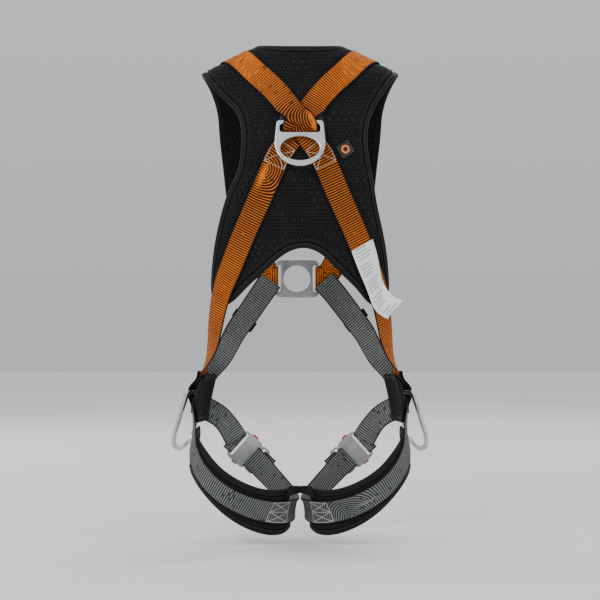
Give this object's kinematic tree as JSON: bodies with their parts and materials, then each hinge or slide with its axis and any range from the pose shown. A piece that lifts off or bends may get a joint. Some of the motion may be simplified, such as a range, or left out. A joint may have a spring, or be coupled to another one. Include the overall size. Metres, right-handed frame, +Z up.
{
  "type": "safety harness",
  "caption": "Full-body fall-arrest harness: padded yoke, crossed back straps, dorsal and lateral rings, chest ring plate and quick-release leg loops.",
  "frame": {"origin": "the wearer's waist on the body's midline", "axes": "+X to the wearer's right, +Y forward, +Z up"},
  "size_m": [0.475, 0.2942, 0.881],
  "materials": {
    "pad_black": "matt spacer mesh with woven binding",
    "webbing_orange": "woven polyester, dark weave lines and selvedges",
    "webbing_grey": "woven polyester, light and dark weave lines",
    "webbing_black": "woven polyester, black",
    "ring_alloy": "satin forged",
    "hardware_steel": "satin",
    "lever_red": "anodised satin",
    "keeper_black": "smooth matt",
    "badge": "matt with a plain raised orange ring",
    "label_white": "printed label film with plain ruled bars"
  },
  "bodies": {
    "harness": {"adjuster_frame_left": "hardware_steel", "adjuster_frame_right": "hardware_steel", "adjuster_loop_left": "webbing_orange", "adjuster_loop_right": "webbing_orange", "adjuster_tail_left": "webbing_orange", "adjuster_tail_right": "webbing_orange", "back_pad": "pad_black", "badge_tab": "badge", "chest_loop_left": "webbing_orange", "chest_loop_right": "webbing_orange", "chest_ring": "hardware_steel", "chest_webbing_left": "webbing_orange", "chest_webbing_right": "webbing_orange", "crotch_bridge": "pad_black", "dorsal_keeper": "keeper_black", "hip_pad_left": "pad_black", "hip_pad_right": "pad_black", "inspection_label": "label_white", "lateral_loop_left": "webbing_black", "lateral_loop_right": "webbing_black", "leg_body_loop_left": "webbing_grey", "leg_body_loop_right": "webbing_grey", "leg_buckle_body_left": "hardware_steel", "leg_buckle_body_right": "hardware_steel", "leg_front_webbing_left": "webbing_grey", "leg_front_webbing_right": "webbing_grey", "leg_pad_left": "pad_black", "leg_pad_right": "pad_black", "leg_tail_left": "webbing_grey", "leg_tail_right": "webbing_grey", "leg_webbing_left": "webbing_grey", "leg_webbing_right": "webbing_grey", "shoulder_pad_left": "pad_black", "shoulder_pad_right": "pad_black", "shoulder_webbing_left": "webbing_orange", "shoulder_webbing_right": "webbing_orange", "tail_keeper_left": "keeper_black", "tail_keeper_right": "keeper_black", "torso_webbing_left": "webbing_grey", "torso_webbing_right": "webbing_grey"},
    "dorsal_ring": {"dorsal_ring": "ring_alloy"},
    "lateral_ring_left": {"lateral_ring_left": "ring_alloy"},
    "lateral_ring_right": {"lateral_ring_right": "ring_alloy"},
    "adjuster_bar_left": {"adjuster_bar_left": "hardware_steel"},
    "adjuster_bar_right": {"adjuster_bar_right": "hardware_steel"},
    "leg_tongue_left": {"leg_buckle_tongue_left": "hardware_steel", "leg_tongue_loop_left": "webbing_grey"},
    "leg_tongue_right": {"leg_buckle_tongue_right": "hardware_steel", "leg_tongue_loop_right": "webbing_grey"},
    "leg_lever_upper_left": {"leg_lever_upper_left": "lever_red"},
    "leg_lever_lower_left": {"leg_lever_lower_left": "lever_red"},
    "leg_lever_upper_right": {"leg_lever_upper_right": "lever_red"},
    "leg_lever_lower_right": {"leg_lever_lower_right": "lever_red"}
  },
  "joints": [
    {"name": "dorsal_ring_hinge", "type": "hinge", "parent": "harness", "child": "dorsal_ring", "pos_m": [0, -0.13586, 0.383], "axis": [-1, 0, 0], "range_deg": [0, 115]},
    {"name": "lateral_ring_left_hinge", "type": "hinge", "parent": "harness", "child": "lateral_ring_left", "pos_m": [-0.19028, 0.04009, -0.09635], "axis": [0.4746, 0.8802, 0], "range_deg": [0, 95]},
    {"name": "lateral_ring_right_hinge", "type": "hinge", "parent": "harness", "child": "lateral_ring_right", "pos_m": [0.19028, 0.04009, -0.09635], "axis": [0.4746, -0.8802, 0], "range_deg": [0, 95]},
    {"name": "adjuster_bar_left_slide", "type": "slide", "parent": "harness", "child": "adjuster_bar_left", "axis": [0.3556, 0.0376, -0.9339], "range_m": [-0.004, 0.004]},
    {"name": "adjuster_bar_right_slide", "type": "slide", "parent": "harness", "child": "adjuster_bar_right", "axis": [-0.3556, 0.0376, -0.9339], "range_m": [-0.004, 0.004]},
    {"name": "leg_tongue_left_slide", "type": "slide", "parent": "harness", "child": "leg_tongue_left", "axis": [0.7411, 0.1147, -0.6616], "range_m": [0, 0.026]},
    {"name": "leg_lever_upper_left_press", "type": "slide", "parent": "harness", "child": "leg_lever_upper_left", "axis": [0.6651, 0.0099, 0.7467], "range_m": [0, 0.0025], "stiffness_N_per_m": 600, "springref_m": -0.002},
    {"name": "leg_lever_lower_left_press", "type": "slide", "parent": "harness", "child": "leg_lever_lower_left", "axis": [-0.6651, -0.0099, -0.7467], "range_m": [0, 0.0025], "stiffness_N_per_m": 600, "springref_m": -0.002},
    {"name": "leg_tongue_right_slide", "type": "slide", "parent": "harness", "child": "leg_tongue_right", "axis": [-0.7411, 0.1147, -0.6616], "range_m": [0, 0.026]},
    {"name": "leg_lever_upper_right_press", "type": "slide", "parent": "harness", "child": "leg_lever_upper_right", "axis": [0.6651, -0.0099, -0.7467], "range_m": [0, 0.0025], "stiffness_N_per_m": 600, "springref_m": -0.002},
    {"name": "leg_lever_lower_right_press", "type": "slide", "parent": "harness", "child": "leg_lever_lower_right", "axis": [-0.6651, 0.0099, 0.7467], "range_m": [0, 0.0025], "stiffness_N_per_m": 600, "springref_m": -0.002}
  ]
}
